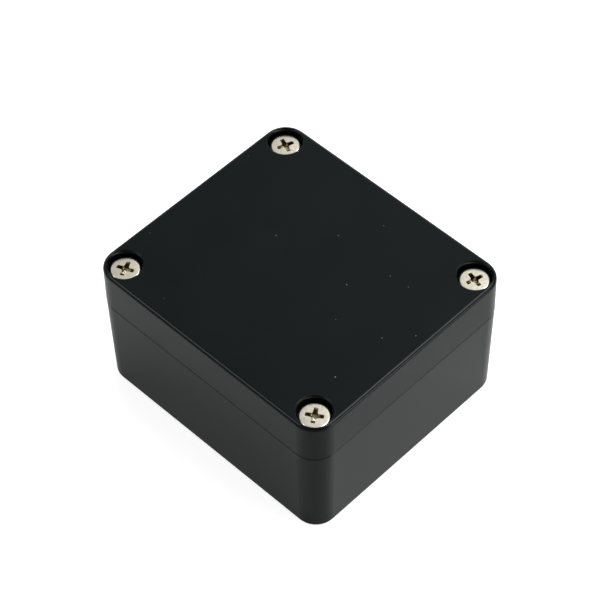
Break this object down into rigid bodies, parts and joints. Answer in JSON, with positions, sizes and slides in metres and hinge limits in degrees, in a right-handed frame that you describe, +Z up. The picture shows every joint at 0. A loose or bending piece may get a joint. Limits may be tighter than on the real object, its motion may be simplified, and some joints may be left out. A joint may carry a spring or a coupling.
{
  "type": "plastic project box",
  "caption": "Small moulded plastic project box: a deep base and a screwed lid with a rubber gasket between them, and a cross-head screw sunk in each corner of the lid.",
  "frame": {"origin": "middle of the closed box's underside, which it stands on", "axes": "+X along the longer side, towards the right end; +Y along the shorter side, towards the back; +Z up, out of the lid"},
  "size_m": [0.065, 0.058, 0.035],
  "materials": {
    "case_plastic": "black moulded plastic with a very fine satin texture",
    "gasket_rubber": "dark grey moulded rubber",
    "screw_nickel": "bright nickel plate on a steel machine screw",
    "insert_brass": "turned and knurled brass"
  },
  "bodies": {
    "root": {"base": "case_plastic", "lid": "case_plastic", "gasket": "gasket_rubber", "lid_screw_front_left": "screw_nickel", "lid_screw_front_right": "screw_nickel", "lid_screw_back_left": "screw_nickel", "lid_screw_back_right": "screw_nickel", "threaded_insert_front_left": "insert_brass", "threaded_insert_front_right": "insert_brass", "threaded_insert_back_left": "insert_brass", "threaded_insert_back_right": "insert_brass"}
  },
  "joints": []
}
